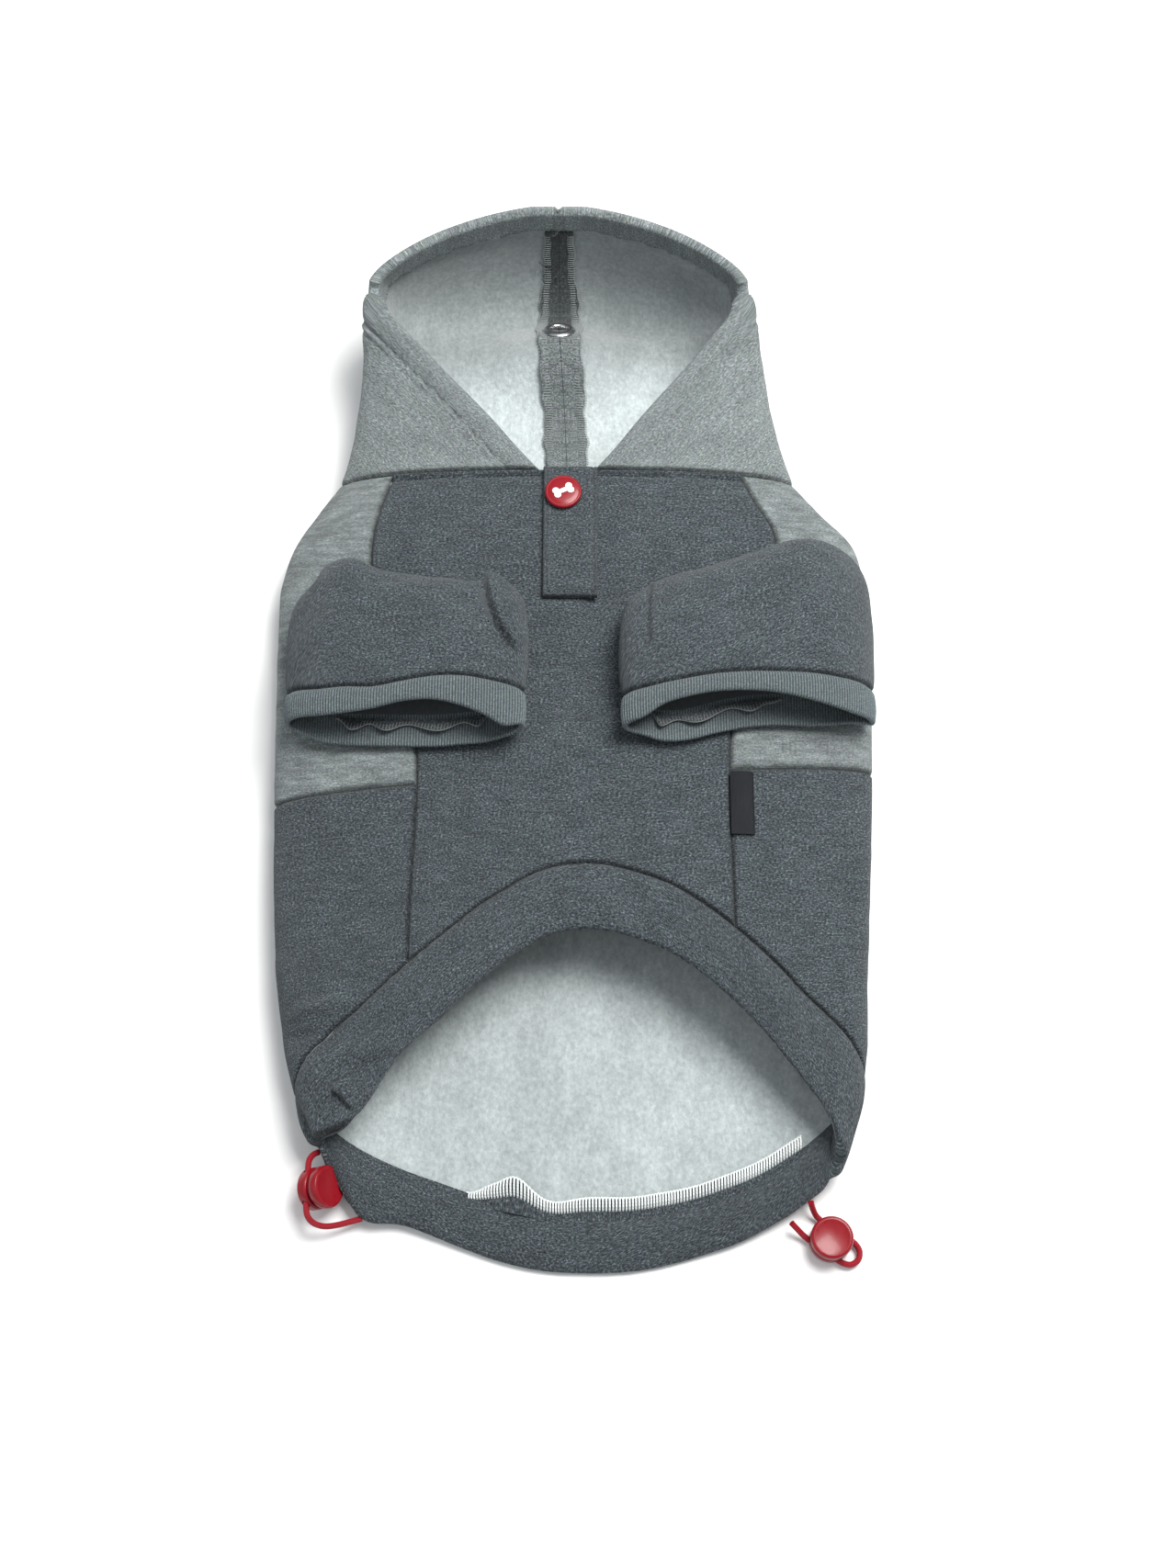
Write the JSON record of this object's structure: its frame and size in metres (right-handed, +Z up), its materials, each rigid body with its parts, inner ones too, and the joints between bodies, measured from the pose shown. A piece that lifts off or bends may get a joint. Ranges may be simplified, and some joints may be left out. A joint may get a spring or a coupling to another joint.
{
  "type": "dog hoodie",
  "caption": "Two-tone fleece-lined dog hoodie with open hood, short sleeves with rib cuffs, throat placket, and a drawcord hem with spring cord locks",
  "frame": {"origin": "centre of the bounding box at its base, with the hoodie lying on its back", "axes": "+Z up, away from the surface it lies on and out of the belly side; +Y towards the hood; +X to the right as seen from the hem with the belly side up"},
  "size_m": [0.2662, 0.4808, 0.062],
  "materials": {
    "light_heather_cloth": "light grey heather jersey",
    "dark_heather_cloth": "dark grey heather jersey",
    "red_plastic": "glossy red",
    "red_cord": "braided red",
    "nickel_steel": "polished nickel",
    "black_satin": "black satin"
  },
  "bodies": {
    "garment": {"yoke": "light_heather_cloth", "lower_back": "dark_heather_cloth", "belly_panel": "dark_heather_cloth", "hood_left": "light_heather_cloth", "hood_right": "light_heather_cloth", "placket": "dark_heather_cloth", "snap_cap": "red_plastic", "leash_eyelet": "nickel_steel", "sleeve_left": "dark_heather_cloth", "sleeve_right": "dark_heather_cloth", "cuff_left": "dark_heather_cloth", "cuff_right": "dark_heather_cloth", "hem_band": "dark_heather_cloth", "side_label": "black_satin", "drawcord_left": "red_cord", "drawcord_right": "red_cord", "lock_body_left": "red_plastic", "lock_body_right": "red_plastic"},
    "button_left": {"lock_button_left": "red_plastic"},
    "button_right": {"lock_button_right": "red_plastic"}
  },
  "joints": [
    {"name": "press_left", "type": "slide", "parent": "garment", "child": "button_left", "axis": [-0.7986, 0, -0.6018], "range_m": [0, 0.0015], "stiffness_N_per_m": 400, "springref_m": -0.003},
    {"name": "press_right", "type": "slide", "parent": "garment", "child": "button_right", "axis": [0, 0, -1], "range_m": [0, 0.0015], "stiffness_N_per_m": 400, "springref_m": -0.003}
  ]
}
